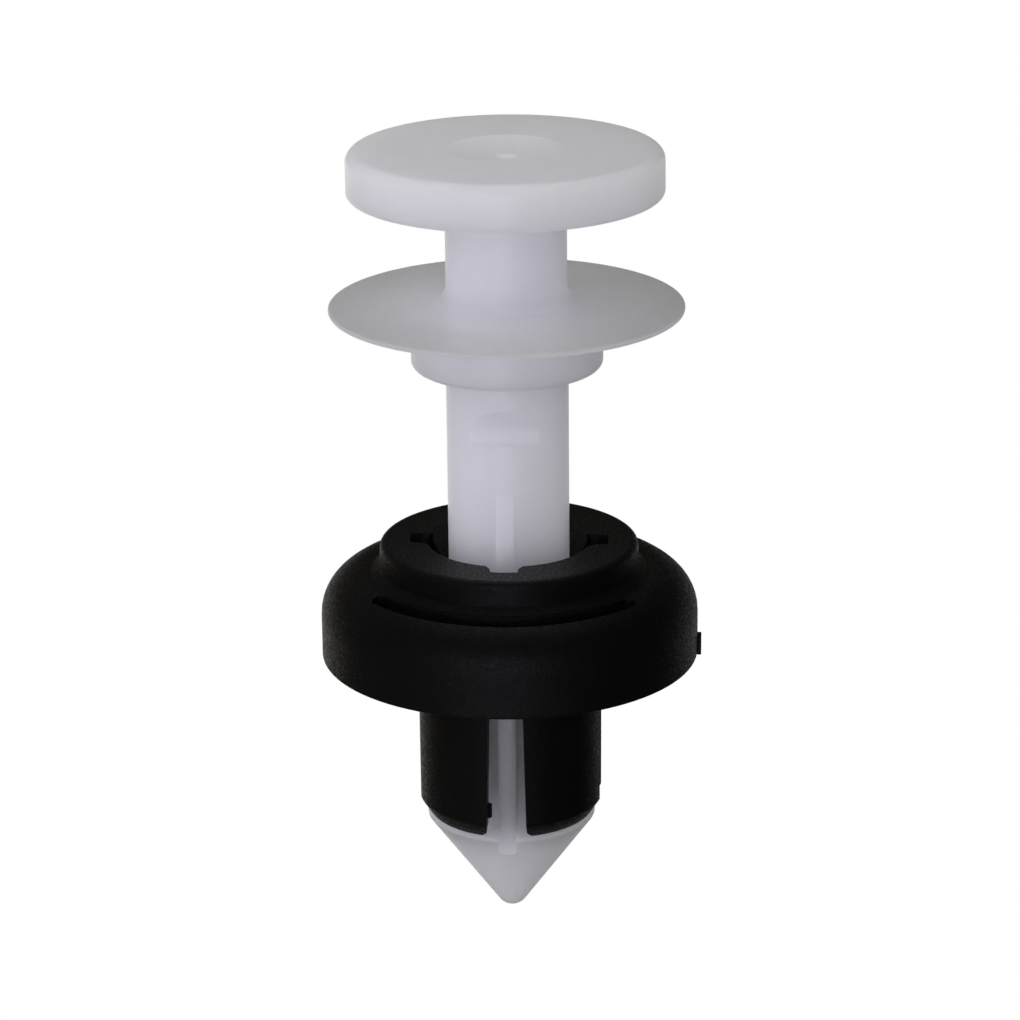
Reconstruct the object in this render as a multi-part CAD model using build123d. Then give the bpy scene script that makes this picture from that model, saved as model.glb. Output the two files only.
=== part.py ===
from build123d import *
from math import cos, radians, sin, sqrt, tan
import os

# A two-piece push rivet: a white push pin that slides in a black split sleeve.
# It stands on the outer face of its head. Z = 0 is that face, +Z runs along the
# axis to the pointed tip, and the pin is drawn out as far as the sleeve lets it go.
# The locking notches, key ribs and kidney slots lie on the -Y and +Y sides.
# All lengths are in millimetres.

# ---- Push pin: head, neck and umbrella disc ----
HEAD_RADIUS = 8.2
HEAD_THICKNESS = 2.4
HEAD_EDGE = 0.6            # rounding of the outer face's rim
HEAD_UNDER_EDGE = 0.3      # rounding of the rim towards the panel
SINK_RADIUS = 3.0          # shallow dish over the shank
SINK_DEPTH = 0.45
GATE_RADIUS = 0.55         # dimple left by the moulding gate, in the dish's floor
GATE_DEPTH = 0.3
NECK_RADIUS = 3.15
NECK_LENGTH = 5.55         # clear height for the keyhole slot of a trim panel
NECK_ROOT = 0.3            # fillet under the head
UMBRELLA_RADIUS = 9.25
UMBRELLA_DROOP = 0.3       # how far the rim lies behind the disc's middle
UMBRELLA_RIM = 0.25        # thickness at the flexible rim
UMBRELLA_ROOT = 1.1        # thickness beside the collar
UMBRELLA_RIM_EDGE = 0.11   # rounding of either edge of the rim
UMBRELLA_FILLET = 0.8      # fillet from the neck into the disc
COLLAR_RADIUS = 5.0
COLLAR_LENGTH = 2.5
COLLAR_EDGE = 0.4

# ---- Push pin: shank, core and point ----
SHANK_RADIUS = 3.2
SHANK_EDGE = 0.2
SHANK_LENGTH = 13.0        # full shank, which spreads and backs the legs when driven home
WEDGE_LENGTH = 1.8         # taper from the shank to the thin core
CORE_RADIUS = 1.7
CORE_FLARE = 1.8           # fillet from the core into the cone's base
CONE_RADIUS = 4.62
CONE_HALF_ANGLE = 36.0     # degrees
TIP_RADIUS = 0.9
CONE_EDGE = 0.12
NOTCH_START = 1.55         # from the collar's end face
NOTCH_LENGTH = 1.9
NOTCH_RAMP = 0.85          # length of the lead-in, on the head's side
NOTCH_DEPTH = 0.55
NOTCH_SWEEP = 1.5          # rounding from the lead-in into the floor
NOTCH_CORNER = 0.2         # rounding from the floor into the ledge
RIB_WIDTH = 0.95
RIB_HEIGHT = 0.55          # how far the key ribs stand out of the shank
RIB_START = 5.95           # from the collar's end face to the ramp's foot
RIB_RAMP = 2.8

# ---- Split sleeve: ring and sealing flange ----
TRAVEL = 9.53              # stroke of the pin, from drawn out to driven home
STOP_GAP = 0.05            # air left at either end of the stroke
RING_RADIUS = 6.85
RING_EDGE = 0.35
RING_HEIGHT = 1.62         # from the flange's crown to the ring's end face
MOUTH_RADIUS = 4.3
MOUTH_LENGTH = 2.2         # funnel from the mouth into the leg bore
MOUTH_EDGE = 0.15
BAND_FLARE = 0.5           # base band's radius over the ring's
BAND_HEIGHT = 0.3
FLANGE_RADIUS = 10.0
FLANGE_DEPTH = 4.65        # from crown to seating rim
CROWN_FLAT = 0.35          # from the base band to where the outer shoulder starts
FLANGE_WALL = 1.1
FLANGE_EDGE = 0.12
KIDNEY_MARGIN = 0.24       # solid crown on either side of a kidney slot, as a share of its width
KIDNEY_HALF_ANGLE = 52.5   # degrees, from the middle of a slot to its end's centre
GATE_NUB_HEIGHT = 0.95
GATE_NUB_WIDTH = 0.9
GATE_NUB_PROUD = 0.2

# ---- Split sleeve: legs ----
LEG_RADIUS = 4.93          # passes a 10 mm hole
LEG_LENGTH = 9.05          # below the flange's rim
ROOT_RADIUS = 5.15         # stouter roots of the legs, inside the hollow flange
ROOT_SETBACK = 0.5         # from the roots' end to the flange's rim
ROOT_STEP = 0.2
LEG_ROOT = 0.3             # fillet between the roots and the flange's ceiling
LEG_CHAMFER_DEPTH = 0.58
LEG_CHAMFER_LENGTH = 0.88
LEG_NOSE = 0.25            # rounding where the chamfer meets the wall and the end
LEG_EDGE = 0.12
BORE_CLEARANCE = 0.15      # leg bore over the shank
KEY_CLEARANCE = 0.275      # keyway over a key rib, each side, at the ring's face
BLADE_OVERCUT = 0.12       # how far the slit blades reach past the roots
SLIT_DRAFT = 1.2           # degrees, each side: the slits widen towards the tip
SLIT_CORNER = 0.3          # rounded corners where the slits run out of the legs
KEYWAY_SPLAY = 0.2         # rounding of the keyways' corners in the mouth
CATCH_LENGTH = 0.7         # small catch on one slit's edge
CATCH_SETBACK = 0.25       # from the catch to the leg's chamfer
CATCH_PROUD = 0.25

# ---- Stations along the axis ----
umbrella_z = HEAD_THICKNESS + NECK_LENGTH
rim_z = umbrella_z + UMBRELLA_DROOP
collar_z = umbrella_z + UMBRELLA_ROOT
collar_end = collar_z + COLLAR_LENGTH
ring_z = collar_end + TRAVEL + STOP_GAP
crown_z = ring_z + RING_HEIGHT
seat_z = crown_z + FLANGE_DEPTH
leg_end = seat_z + LEG_LENGTH
cone_z = leg_end + STOP_GAP
shank_end = collar_end + SHANK_LENGTH
core_z = shank_end + WEDGE_LENGTH
bore_radius = SHANK_RADIUS + BORE_CLEARANCE
rib_radius = SHANK_RADIUS + RIB_HEIGHT
blade_radius = ROOT_RADIUS + BLADE_OVERCUT
band_radius = RING_RADIUS + BAND_FLARE
inner_wall = FLANGE_RADIUS - FLANGE_WALL
shoulder = FLANGE_RADIUS - band_radius - CROWN_FLAT


def turned(corners):
    """Solid of revolution about Z from its half section: (radius, height, rounding) corners."""
    points = [(radius, height) for radius, height, rounding in corners]
    roundings = [rounding for radius, height, rounding in corners]
    section = make_face(FilletPolyline(*points, radius=roundings, close=True))
    return revolve(Plane.XZ * section, Axis.Z)


def dish(radius, depth, level):
    """Ball that leaves a round dish of this radius and depth in a floor at this level."""
    ball = (radius**2 + depth**2) / (2 * depth)
    return Pos(0, 0, level + depth - ball) * Sphere(ball)


def plate(corners, thickness):
    """Flat plate across the X axis, from its (y, z, rounding) corners."""
    points = [(y, z) for y, z, rounding in corners]
    roundings = [rounding for y, z, rounding in corners]
    face = make_face(FilletPolyline(*points, radius=roundings, close=True))
    return extrude(Plane.YZ * face, thickness / 2, both=True)


def front_and_back(body):
    """The body and its copy turned half round the axis."""
    return [body, Rot(0, 0, 180) * body]


def pin_body():
    """Head, neck, umbrella disc, collar and full shank, turned in one."""
    corners = [
        (0, 0, 0),
        (HEAD_RADIUS, 0, HEAD_EDGE),
        (HEAD_RADIUS, HEAD_THICKNESS, HEAD_UNDER_EDGE),
        (NECK_RADIUS, HEAD_THICKNESS, NECK_ROOT),
        (NECK_RADIUS, umbrella_z, UMBRELLA_FILLET),
        (UMBRELLA_RADIUS, rim_z, UMBRELLA_RIM_EDGE),
        (UMBRELLA_RADIUS, rim_z + UMBRELLA_RIM, UMBRELLA_RIM_EDGE),
        (COLLAR_RADIUS, collar_z, COLLAR_EDGE),
        (COLLAR_RADIUS, collar_end, COLLAR_EDGE),
        (SHANK_RADIUS, collar_end, SHANK_EDGE),
        (SHANK_RADIUS, shank_end, SHANK_EDGE),
        (CORE_RADIUS, core_z, SHANK_EDGE),
        (CORE_RADIUS, cone_z, CORE_FLARE),
        (CONE_RADIUS, cone_z, CONE_EDGE),
    ]
    # the cone meets the round tip where both have the same slope
    slope = radians(CONE_HALF_ANGLE)
    apex = cone_z + CONE_RADIUS / tan(slope)
    tip_centre = apex - TIP_RADIUS / sin(slope)
    tangent = (TIP_RADIUS * cos(slope), tip_centre + TIP_RADIUS * sin(slope))
    corners += [(*tangent, 0), (0, tangent[1], 0)]
    return turned(corners) + Pos(0, 0, tip_centre) * Sphere(TIP_RADIUS)


def key_ribs():
    """Blade through the axis whose two edges run in the sleeve's keyways and slits."""
    foot = collar_end + RIB_START
    reach = sqrt(SHANK_RADIUS**2 - (RIB_WIDTH / 2) ** 2)
    half = [
        (reach, foot, 0),
        (rib_radius, foot + RIB_RAMP, 0),
        (rib_radius, cone_z + CONE_EDGE, 0),
    ]
    other = [(-y, z, rounding) for y, z, rounding in reversed(half)]
    return plate(half + other, RIB_WIDTH)


def cone_groove():
    """Cut that carries a rib's outer face on into the cone until the cone passes under it."""
    outer = CONE_RADIUS + CONE_EDGE
    runout = cone_z + CONE_RADIUS / tan(radians(CONE_HALF_ANGLE))
    corners = [(-rib_radius, cone_z - CONE_EDGE, 0), (-outer, cone_z - CONE_EDGE, 0)]
    corners += [(-outer, runout, 0), (-rib_radius, runout, 0)]
    return plate(corners, RIB_WIDTH)


def locking_notch():
    """Cut with a lead-in that sweeps into a flat floor, and a ledge that faces the head."""
    start = collar_end + NOTCH_START
    ledge = start + NOTCH_LENGTH
    outer = SHANK_RADIUS + NOTCH_DEPTH
    floor = SHANK_RADIUS - NOTCH_DEPTH
    corners = [
        (-outer, start - NOTCH_RAMP, 0),
        (-floor, start + NOTCH_RAMP, NOTCH_SWEEP),
        (-floor, ledge, NOTCH_CORNER),
        (-outer, ledge, 0),
    ]
    return plate(corners, 2 * SHANK_RADIUS)


def push_pin():
    """White moulding: the whole pin."""
    pin = pin_body() + key_ribs()
    pin -= front_and_back(cone_groove())
    pin -= front_and_back(locking_notch())
    pin -= dish(SINK_RADIUS, SINK_DEPTH, 0)
    pin -= dish(GATE_RADIUS, GATE_DEPTH, SINK_DEPTH)
    return pin


def sleeve_body():
    """Ring, base band, domed flange with its hollow underside, and the leg tube."""
    ceiling = crown_z + FLANGE_WALL
    return turned([
        (MOUTH_RADIUS, ring_z, MOUTH_EDGE),
        (RING_RADIUS, ring_z, RING_EDGE),
        (RING_RADIUS, crown_z - BAND_HEIGHT, 0),
        (band_radius, crown_z, 0),
        (FLANGE_RADIUS, crown_z, shoulder),
        (FLANGE_RADIUS, seat_z, FLANGE_EDGE),
        (inner_wall, seat_z, FLANGE_EDGE),
        (inner_wall, ceiling, shoulder - FLANGE_WALL),
        (ROOT_RADIUS, ceiling, LEG_ROOT),
        (ROOT_RADIUS, seat_z - ROOT_SETBACK - ROOT_STEP, 0),
        (LEG_RADIUS, seat_z - ROOT_SETBACK, 0),
        (LEG_RADIUS, leg_end - LEG_CHAMFER_LENGTH, LEG_NOSE),
        (LEG_RADIUS - LEG_CHAMFER_DEPTH, leg_end, LEG_NOSE),
        (bore_radius, leg_end, LEG_EDGE),
        (bore_radius, ring_z + MOUTH_LENGTH, 0),
    ])


def slit_half_width(height):
    """Half the width of a slit at this height: the blades have draft."""
    at_ring = RIB_WIDTH / 2 + KEY_CLEARANCE
    return at_ring + (height - ring_z) * tan(radians(SLIT_DRAFT))


def slit_blade():
    """Drafted blade on -Y that cuts a keyway in the ring and a slit between two legs."""
    low = ring_z - SLIT_CORNER
    high = leg_end + SLIT_CORNER
    flare = leg_end - SLIT_CORNER
    mouth = slit_half_width(flare) + SLIT_CORNER
    half = [
        (slit_half_width(low), low, 0),
        (slit_half_width(flare), flare, SLIT_CORNER),
        (mouth + SLIT_CORNER, high, 0),
    ]
    other = [(-x, z, rounding) for x, z, rounding in reversed(half)]
    corners = half + other
    points = [(x, z) for x, z, rounding in corners]
    roundings = [rounding for x, z, rounding in corners]
    face = make_face(FilletPolyline(*points, radius=roundings, close=True))
    blade = extrude(Plane.XZ * face, blade_radius)
    return blade & Pos(0, 0, low) * Cylinder(
        blade_radius, high - low, align=(Align.CENTER, Align.CENTER, Align.MIN)
    )


def keyway_mouth():
    """Plan-view splay that rounds a keyway's corners where it opens into the mouth."""
    root = MOUTH_RADIUS + 2 * KEYWAY_SPLAY
    half_width = slit_half_width(ring_z)
    outline = [
        (half_width, -root),
        (half_width + KEYWAY_SPLAY, -MOUTH_RADIUS),
        (half_width + 2 * KEYWAY_SPLAY, -MOUTH_RADIUS + KEYWAY_SPLAY),
    ]
    outline += [(-x, y) for x, y in reversed(outline)]
    face = make_face(Polyline(*outline, close=True))
    return extrude(Pos(0, 0, ring_z) * face, MOUTH_LENGTH / 2)


def kidney_slot():
    """Arc-shaped slot through the crown, hugging the ring's base on the -Y side."""
    crown = inner_wall - band_radius
    middle = (inner_wall + band_radius) / 2
    arc = CenterArc((0, 0), middle, 270 - KIDNEY_HALF_ANGLE, 2 * KIDNEY_HALF_ANGLE)
    face = SlotArc(arc, crown * (1 - 2 * KIDNEY_MARGIN))
    return extrude(Pos(0, 0, ring_z) * face, RING_HEIGHT + shoulder + FLANGE_WALL)


def gate_nub():
    """Vestige of the moulding gate on the flange's side, beside the rim."""
    height = Pos(0, 0, seat_z - GATE_NUB_HEIGHT / 2)
    depth = GATE_NUB_PROUD + FLANGE_WALL / 2
    reach = FLANGE_RADIUS + GATE_NUB_PROUD
    block = Box(
        depth, GATE_NUB_WIDTH, GATE_NUB_HEIGHT,
        align=(Align.MIN, Align.CENTER, Align.CENTER),
    )
    return height * Pos(-reach, 0, 0) * block


def slit_catch():
    """Small rounded catch on the edge of the front slit, near the leg's end."""
    middle = leg_end - LEG_CHAMFER_LENGTH - CATCH_SETBACK - CATCH_LENGTH / 2
    side = slit_half_width(middle)
    radius = (bore_radius + LEG_RADIUS) / 2
    return Pos(side, -radius, middle) * Cylinder(CATCH_PROUD, CATCH_LENGTH)


def split_sleeve():
    """Black moulding: ring, sealing flange and four legs in one."""
    sleeve = sleeve_body()
    sleeve -= [Rot(0, 0, quarter * 90) * slit_blade() for quarter in range(4)]
    sleeve -= [Rot(0, 0, quarter * 90) * keyway_mouth() for quarter in range(4)]
    sleeve -= front_and_back(kidney_slot())
    return sleeve + gate_nub() + slit_catch()


os.makedirs("parts", exist_ok=True)
export_step(push_pin(), "parts/push_pin.step")
export_step(split_sleeve(), "parts/split_sleeve.step")
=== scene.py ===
# %% [markdown]
# # Plastic push rivet
# The rivet is two mouldings: a white push pin and the black split sleeve that it slides in.
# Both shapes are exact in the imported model, so this lesson keeps them as they are and gives
# its time to what a shape can't say: how nylon looks, and the light that shows it.
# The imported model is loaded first, and everything after it is in metres, in the same frame:
# the rivet stands on its head at z = 0 with its point up.

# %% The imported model
import math

import bpy
from mathutils import Matrix, Vector

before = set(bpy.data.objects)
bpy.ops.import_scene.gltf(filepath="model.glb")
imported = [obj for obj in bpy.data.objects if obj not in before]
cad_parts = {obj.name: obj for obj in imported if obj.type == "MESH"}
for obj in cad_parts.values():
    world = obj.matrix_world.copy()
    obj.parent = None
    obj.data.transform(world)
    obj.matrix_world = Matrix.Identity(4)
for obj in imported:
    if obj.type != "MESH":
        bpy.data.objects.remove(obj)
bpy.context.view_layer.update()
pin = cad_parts["push_pin"]
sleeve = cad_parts["split_sleeve"]

# %% [markdown]
# ## Camera
# A rivet this small is looked at through a long lens from close by. The camera stands 44 mm
# below the head's level and looks up at the rivet, with its own top turned down, so that the
# head is at the top of the frame, as it is when the rivet hangs ready to be pressed in. Three
# directions say where it looks: forward, up and right. They are worked out from a turn round
# the rivet, a tilt and a small roll, and written into the camera's matrix.

# %% Camera
LENS = 130.94
CAMERA_REACH = 0.185      # level distance from the rivet's axis
CAMERA_DROP = 0.0442      # below the head's outer face
CAMERA_TURN = math.radians(3.5)
CAMERA_TILT = math.radians(19.008)
CAMERA_ROLL = math.radians(0.58)
AIM_OFFSET = math.radians(0.022)

place = Vector((-math.sin(CAMERA_TURN), -math.cos(CAMERA_TURN), 0)) * CAMERA_REACH
place.z = -CAMERA_DROP
aim = CAMERA_TURN - AIM_OFFSET
level = Vector((math.sin(aim), math.cos(aim), 0))
down = Vector((0, 0, -1))
forward = level * math.cos(CAMERA_TILT) - down * math.sin(CAMERA_TILT)
upward = level * math.sin(CAMERA_TILT) + down * math.cos(CAMERA_TILT)
right = forward.cross(upward)
up = upward * math.cos(CAMERA_ROLL) + right * math.sin(CAMERA_ROLL)
across = right * math.cos(CAMERA_ROLL) - upward * math.sin(CAMERA_ROLL)

camera = bpy.data.objects.new("camera", bpy.data.cameras.new("camera"))
bpy.context.scene.collection.objects.link(camera)
camera.data.lens = LENS
camera.data.sensor_width = 36
camera.data.clip_start = 0.01
turned = Matrix((across, up, -forward)).transposed().to_4x4()
camera.matrix_world = Matrix.Translation(place) @ turned
bpy.context.scene.camera = camera
print("camera at", [round(v * 1000, 1) for v in place], "mm")

# %% [markdown]
# ## A short way to write materials
# A material in Blender is a net of nodes. Six small helpers keep the net readable: they start
# a material, add a node and fill in its sockets, join an output to an input, and make the
# three things that every finish here is built from: coordinates, a noise, and the noise's
# range spread over another one. Nylon's grain is a fraction of a millimetre, so the object
# coordinates, which are in metres, are scaled to millimetres once, and every texture size
# below can then be read as "per millimetre".

# %% Helpers for materials
MM_PER_METRE = 1000


def new_material(name):
    material = bpy.data.materials.new(name)
    material.use_nodes = True
    material.node_tree.nodes.clear()
    return material


def add_node(tree, kind, **values):
    node = tree.nodes.new("ShaderNode" + kind)
    for key, value in values.items():
        name = key.replace("_", " ")
        if name in node.inputs:
            node.inputs[name].default_value = value
        else:
            setattr(node, key, value)
    return node


def join(tree, output, target):
    tree.links.new(output, target)


def millimetres(tree):
    coordinates = add_node(tree, "TexCoord")
    scaled = add_node(tree, "VectorMath", operation="SCALE")
    scaled.inputs["Scale"].default_value = MM_PER_METRE
    join(tree, coordinates.outputs["Object"], scaled.inputs[0])
    return scaled.outputs[0]


def noise(tree, where, per_mm, detail=2.0):
    texture = add_node(tree, "TexNoise", Scale=per_mm, Detail=detail)
    join(tree, where, texture.inputs["Vector"])
    return texture.outputs["Fac"]


def spread(tree, value, low, high, from_low=0.3, from_high=0.7):
    node = add_node(tree, "MapRange", To_Min=low, To_Max=high)
    node.inputs["From Min"].default_value = from_low
    node.inputs["From Max"].default_value = from_high
    join(tree, value, node.inputs["Value"])
    return node.outputs["Result"]


print("six helpers ready")

# %% [markdown]
# ## Colour, relief and an output
# Both nylons need the same three moves: a blend of two colours, a relief in the skin, and an
# output to end the net. A helper that returns its output lets a net be read from the inside
# out. Real relief in the mesh would need millions of facets at this size of grain, so it is
# a bump, which only tilts the light.

# %% Colour, relief and an output
AMOUNT, FIRST, SECOND, MIXED = 0, 6, 7, 2     # a Mix node's sockets when it mixes colours


def mix_colours(tree, amount, first, second):
    node = add_node(tree, "Mix", data_type="RGBA")
    join(tree, amount, node.inputs[AMOUNT])
    node.inputs[FIRST].default_value = first
    node.inputs[SECOND].default_value = second
    return node.outputs[MIXED]


def relief(tree, height, depth, strength, below):
    node = add_node(tree, "Bump", Strength=strength, Distance=depth)
    join(tree, height, node.inputs["Height"])
    join(tree, below, node.inputs["Normal"])
    return node.outputs[0]


def finish_with(tree, shader, kind="Material"):
    out = add_node(tree, "Output" + kind)
    join(tree, shader, out.inputs["Surface"])


print("three more helpers ready")

# %% [markdown]
# ## White nylon
# The pin is natural nylon, which is milky all through. Light goes in, is scattered over
# several millimetres and comes out again, so shadows on it are soft and the rib deep in the
# sleeve's slit still glows a little: that is subsurface scattering, set here to 7 mm. The
# base colour is nearly white, because a pale plastic throws light into its own hollows, and
# the lamps are kept low, so that it renders as a light grey. Its skin copies the face of the
# mould, so it is satin with a fine grain. An image of grain could be wrapped round it, but
# noise in the material needs no unwrapping and stays the same size on every face. Slow waves
# stand for the slight sink of a thick moulding, and the Bevel node rounds the light on sharp
# edges by a twentieth of a millimetre.

# %% White nylon
WHITE_NYLON = (0.865, 0.855, 0.89, 1)
WHITE_NYLON_DENSE = (0.845, 0.835, 0.875, 1)
SCATTER_DEPTH = 0.007
SATIN = (0.29, 0.35)          # roughness, from the smoothest to the dullest patches
CLOUDS, PATCHES, WAVES, GRAINS = 0.28, 3.5, 0.55, 6.5     # how fine each noise is, per mm
WAVE_DEPTH, WHITE_GRAIN_DEPTH = 0.00004, 0.00003
EDGE_ROUNDING = 0.00005

white = new_material("natural_nylon")
tree = white.node_tree
where = millimetres(tree)
nylon = add_node(tree, "BsdfPrincipled", IOR=1.53)
nylon.inputs["Subsurface Weight"].default_value = 1.0
nylon.inputs["Subsurface Radius"].default_value = (1.0, 1.0, 1.0)
nylon.inputs["Subsurface Scale"].default_value = SCATTER_DEPTH
nylon.inputs["Specular IOR Level"].default_value = 0.5
clouds = spread(tree, noise(tree, where, CLOUDS), 0, 1)
join(tree, mix_colours(tree, clouds, WHITE_NYLON, WHITE_NYLON_DENSE), nylon.inputs["Base Color"])
join(tree, spread(tree, noise(tree, where, PATCHES), *SATIN), nylon.inputs["Roughness"])
edge = add_node(tree, "Bevel", samples=4, Radius=EDGE_ROUNDING)
waves = relief(tree, noise(tree, where, WAVES), WAVE_DEPTH, 0.3, edge.outputs[0])
grain = relief(tree, noise(tree, where, GRAINS, detail=3), WHITE_GRAIN_DEPTH, 1.0, waves)
join(tree, grain, nylon.inputs["Normal"])
finish_with(tree, nylon.outputs[0])
print("white nylon:", len(tree.nodes), "nodes")

# %% [markdown]
# ## Black nylon
# The sleeve is nylon too, filled with soot. Almost no light comes back out of it, so
# nearly all that is seen is the lamps mirrored in its skin, spread wide by the grain. The
# base colour is therefore close to nothing. The finish is made by two noises of about a
# tenth of a millimetre: one tilts the skin, the other mixes dull and smooth grains, which
# makes a highlight sparkle.

# %% Black nylon
BLACK_NYLON = (0.0018, 0.0018, 0.0018, 1)
BLACK_NYLON_DENSE = (0.0013, 0.0012, 0.0012, 1)
DULL, SMOOTH = 0.6, 0.28      # roughness of the two kinds of grain
BLACK_CLOUDS, BLACK_PATCHES, BLACK_GRAINS = 0.4, 8.0, 9.0     # how fine, per mm
BLACK_GRAIN_DEPTH = 0.00004

black = new_material("soot_nylon")
tree = black.node_tree
where = millimetres(tree)
skin = add_node(tree, "BsdfPrincipled", IOR=1.5)
skin.inputs["Specular IOR Level"].default_value = 0.35
clouds = spread(tree, noise(tree, where, BLACK_CLOUDS), 0, 1)
join(tree, mix_colours(tree, clouds, BLACK_NYLON, BLACK_NYLON_DENSE), skin.inputs["Base Color"])
patches = noise(tree, where, BLACK_PATCHES, detail=1)
join(tree, spread(tree, patches, DULL, SMOOTH, 0.45, 0.72), skin.inputs["Roughness"])
edge = add_node(tree, "Bevel", samples=4, Radius=EDGE_ROUNDING)
tilts = noise(tree, where, BLACK_GRAINS, detail=2)
grain = relief(tree, tilts, BLACK_GRAIN_DEPTH, 1.0, edge.outputs[0])
join(tree, grain, skin.inputs["Normal"])
finish_with(tree, skin.outputs[0])
print("black nylon:", len(tree.nodes), "nodes")

# %% [markdown]
# ## Dressing the two mouldings
# A imported node is never moved or reshaped here. It only gets its finish, by putting the new
# material in its slots.

# %% Dress the mouldings
for moulding, finish, slot in ((pin, white, "white_nylon"), (sleeve, black, "black_nylon")):
    moulding.data.materials.clear()
    moulding.data.materials.append(finish)
    print(moulding.name, "wears", finish.name, "on", len(moulding.data.polygons), "faces")

# %% [markdown]
# ## Floor
# The rivet stands on a pale floor, one flat sheet that belongs to the stage and not to the
# rivet. It throws no shadow and no light back, so the head's outer face is lit as if the
# rivet hung free.

# %% Floor sheet
FLOOR_REACH = 0.6
FLOOR_LEVEL = -0.00005        # a hair under the head, so that the two faces don't fight

mesh = bpy.data.meshes.new("floor")
signs = ((-1, -1), (1, -1), (1, 1), (-1, 1))
corners = [(x * FLOOR_REACH, y * FLOOR_REACH, FLOOR_LEVEL) for x, y in signs]
mesh.from_pydata(corners, [], [(0, 1, 2, 3)])
floor = bpy.data.objects.new("floor", mesh)
bpy.context.scene.collection.objects.link(floor)
floor.visible_shadow = False
floor.visible_diffuse = False
floor.visible_glossy = False
floor.visible_transmission = False
print("floor", FLOOR_REACH * 2, "m across")

# %% [markdown]
# ## Masks
# The floor and the world are both mixed from shaders by masks, numbers between 0 and 1 that
# say where each shader shows. Two more helpers join masks into one, by a product or by the
# larger of the two, and blend two shaders by a mask.

# %% Masks
def combine(tree, operation, first, second):
    node = add_node(tree, "Math", operation=operation)
    join(tree, first, node.inputs[0])
    join(tree, second, node.inputs[1])
    return node.outputs[0]


def mix_shaders(tree, amount, first, second):
    node = add_node(tree, "MixShader")
    for socket, output in zip(node.inputs, (amount, first, second)):
        join(tree, output, socket)
    return node.outputs[0]


print("two mask helpers ready")

# %% [markdown]
# ## Floor finish
# The main camera looks up from under the floor, so the floor is like a one-way pane: a
# camera above it sees a pale sheet, and one below sees straight through. The Backfacing
# output tells the two sides apart. The pane glows a little to look pale, and glows less where
# the rivet covers its sky, which makes the soft contact shadow. From 7 to 30 cm out it
# melts into the white behind it, so that no edge or horizon shows.

# %% Floor finish
FADE_START = 0.07         # from the axis, where the floor starts to melt into the white
FADE_END = 0.3
CONTACT_REACH = 0.03      # how far the rivet's contact shadow can spread
CONTACT_GLOW = 0.35       # what is left of the glow right beside the head

pale = new_material("pale_floor")
tree = pale.node_tree
top = add_node(tree, "BsdfDiffuse", Color=(0.9, 0.9, 0.9, 1))
glow = add_node(tree, "Emission", Color=(1, 1, 1, 1))
contact = add_node(tree, "AmbientOcclusion", samples=8, Distance=CONTACT_REACH)
strength = spread(tree, contact.outputs["AO"], 0.05, 0.5, CONTACT_GLOW, 1.0)
join(tree, strength, glow.inputs["Strength"])
sheet = add_node(tree, "AddShader")
join(tree, top.outputs[0], sheet.inputs[0])
join(tree, glow.outputs[0], sheet.inputs[1])
spot = add_node(tree, "TexCoord")
away = add_node(tree, "VectorMath", operation="LENGTH")
join(tree, spot.outputs["Object"], away.inputs[0])
fade = spread(tree, away.outputs["Value"], 0, 1, FADE_START, FADE_END)
side = add_node(tree, "NewGeometry")
unseen = combine(tree, "MAXIMUM", side.outputs["Backfacing"], fade)
clear = add_node(tree, "BsdfTransparent")
finish_with(tree, mix_shaders(tree, unseen, sheet.outputs[0], clear.outputs[0]))
mesh.materials.append(pale)
print("floor melts into the white", FADE_START, "to", FADE_END, "m from the axis")

# %% [markdown]
# ## World
# The studio's walls give an even light. The camera should see plain white behind the rivet,
# so a white backdrop is made beside the walls. A black skin shows what it mirrors, and in a
# studio that is mostly a dark room: warm, and brighter on the side of the left panel. The
# direction of a ray says which part of the room it meets.

# %% World
WALLS = (0.25, 0.25, 0.245, 1)
DARK_ROOM = (1.0, 0.92, 0.8, 1)
ROOM_RIGHT, ROOM_LEFT = 0.02, 0.08    # how bright the dark room is on its two sides

world = bpy.data.worlds.new("studio")
bpy.context.scene.world = world
world.use_nodes = True
tree = world.node_tree
tree.nodes.clear()
direction = add_node(tree, "TexCoord")
axes = add_node(tree, "SeparateXYZ")
join(tree, direction.outputs["Generated"], axes.inputs[0])
walls = add_node(tree, "Background", Color=WALLS)
backdrop = add_node(tree, "Background", Color=(1, 1, 1, 1))
room = add_node(tree, "Background", Color=DARK_ROOM)
across_room = spread(tree, axes.outputs["X"], ROOM_RIGHT, ROOM_LEFT, -0.5, 0.7)
join(tree, across_room, room.inputs["Strength"])
print("world: walls", WALLS[:3])

# %% [markdown]
# ## Which ray meets what
# Light Path tells the kinds of rays apart. A ray from the camera, or one that has gone
# through something like glass, meets the white backdrop. A mirrored ray meets the dark room,
# except towards the back and upwards, where a white sheet draws thin bright rims. All others
# meet the walls.

# %% Rays
MIRRORED_SHEET = 0.45                 # how much of the white sheet a skin mirrors

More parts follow.
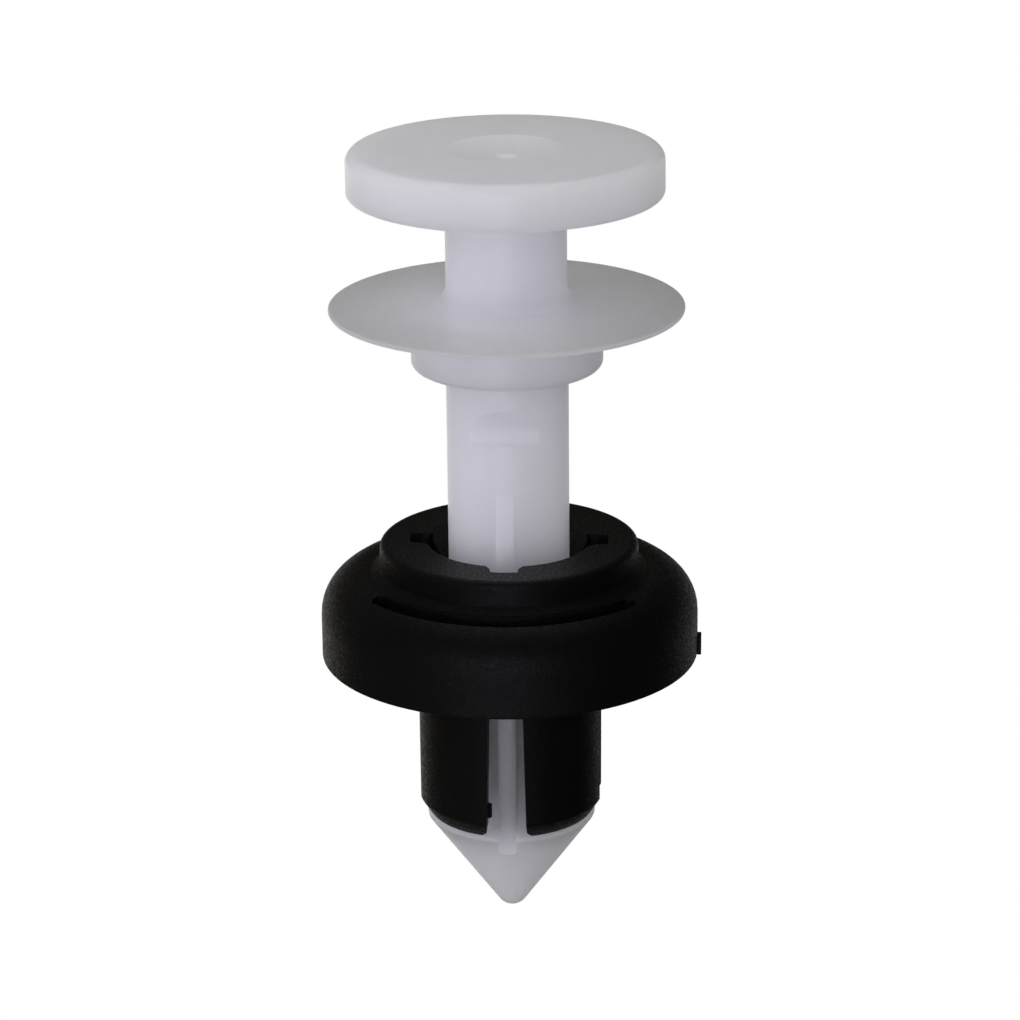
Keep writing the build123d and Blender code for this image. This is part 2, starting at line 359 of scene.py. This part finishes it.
ray = add_node(tree, "LightPath")
glossy = ray.outputs["Is Glossy Ray"]
far = spread(tree, axes.outputs["Y"], 0, 1, 0.6, 0.85)
high = spread(tree, axes.outputs["Z"], 0, 1, -0.1, 0.1)
sheet_seen = combine(tree, "MULTIPLY", far, high)
mirrored = combine(tree, "MULTIPLY", spread(tree, glossy, 0, MIRRORED_SHEET, 0, 1), sheet_seen)
seen = combine(tree, "MAXIMUM", ray.outputs["Is Camera Ray"], ray.outputs["Is Transmission Ray"])
white_ray = combine(tree, "MAXIMUM", seen, mirrored)
around = mix_shaders(tree, glossy, walls.outputs[0], room.outputs[0])
finish_with(tree, mix_shaders(tree, white_ray, around, backdrop.outputs[0]), "World")
print("world:", len(tree.nodes), "nodes")

# %% [markdown]
# ## Lamps
# Soft panels stand round the rivet, 37 to 46 cm from its middle, as in a light tent. They
# are named as the camera sees them, with the head at the top. The left one gives the most
# light and the right one less than half as much, which makes the round shanks read as round.
# Little stands straight in front, so the rib in the narrow slit stays dark. Three panels
# light the head's face and the umbrella disc from the head's side, and a weak one lights the
# cone. Only the narrow front panel, the small spark and the low one are mirrored in the
# skins: black nylon would otherwise show every panel as a grey patch. Each panel's power
# follows from how bright its surface should look and how large it is.

# %% Lamps
MIDDLE = Vector((0, 0, 0.02))     # every panel faces this point, in the rivet's middle
POWER_PER_AREA = 4                # watts for a square metre at a brightness of 1

# name, place, width, height, brightness, colour, mirrored in the skins
PANELS = (
    ("left_panel", (0.402, -0.179, -0.115), 0.28, 0.66, 1.34, (0.87, 0.855, 1.0), False),
    ("right_panel", (-0.248, -0.367, -0.075), 0.26, 0.66, 0.58, (0.83, 0.81, 1.0), False),
    ("top_panel", (0.24, 0.05, -0.26), 0.26, 0.26, 0.80, (1.0, 0.985, 0.95), False),
    ("shoulder_panel", (-0.26, 0.0, -0.27), 0.26, 0.26, 0.85, (1.0, 0.985, 0.95), False),
    ("back_panel", (0.02, 0.36, -0.23), 0.26, 0.26, 0.80, (1.0, 0.985, 0.93), False),
    ("under_panel", (0.155, -0.244, 0.365), 0.26, 0.26, 0.32, (0.98, 0.96, 1.0), False),
    ("front_panel", (0.040, -0.444, 0.012), 0.14, 0.36, 1.3, (0.84, 0.82, 1.0), True),
    ("spark_lamp", (0.030, -0.440, 0.080), 0.05, 0.05, 5.0, (0.88, 0.86, 1.0), True),
    ("low_panel", (0.185, 0.38, 0.174), 0.28, 0.28, 0.35, (1.0, 0.94, 0.8), True),
)

for name, place, width, height, brightness, colour, mirrored in PANELS:
    lamp = bpy.data.lights.new(name, "AREA")
    lamp.shape = "RECTANGLE"
    lamp.size = width
    lamp.size_y = height
    lamp.energy = brightness * POWER_PER_AREA * width * height
    lamp.color = colour
    panel = bpy.data.objects.new(name, lamp)
    bpy.context.scene.collection.objects.link(panel)
    panel.location = place
    panel.rotation_euler = (MIDDLE - Vector(place)).to_track_quat("-Z", "Y").to_euler()
    panel.visible_camera = False
    panel.visible_glossy = mirrored
    print(name, round(lamp.energy, 3), "W")

# %% [markdown]
# ## Picture settings
# The Standard view adds no curve of its own, so every tone comes from the finishes and the
# light. The lamps here are dimmer than a plain level: a plain grey renders at about 0.6 of
# what is written.

# %% Finish
bpy.context.scene.view_settings.view_transform = "Standard"
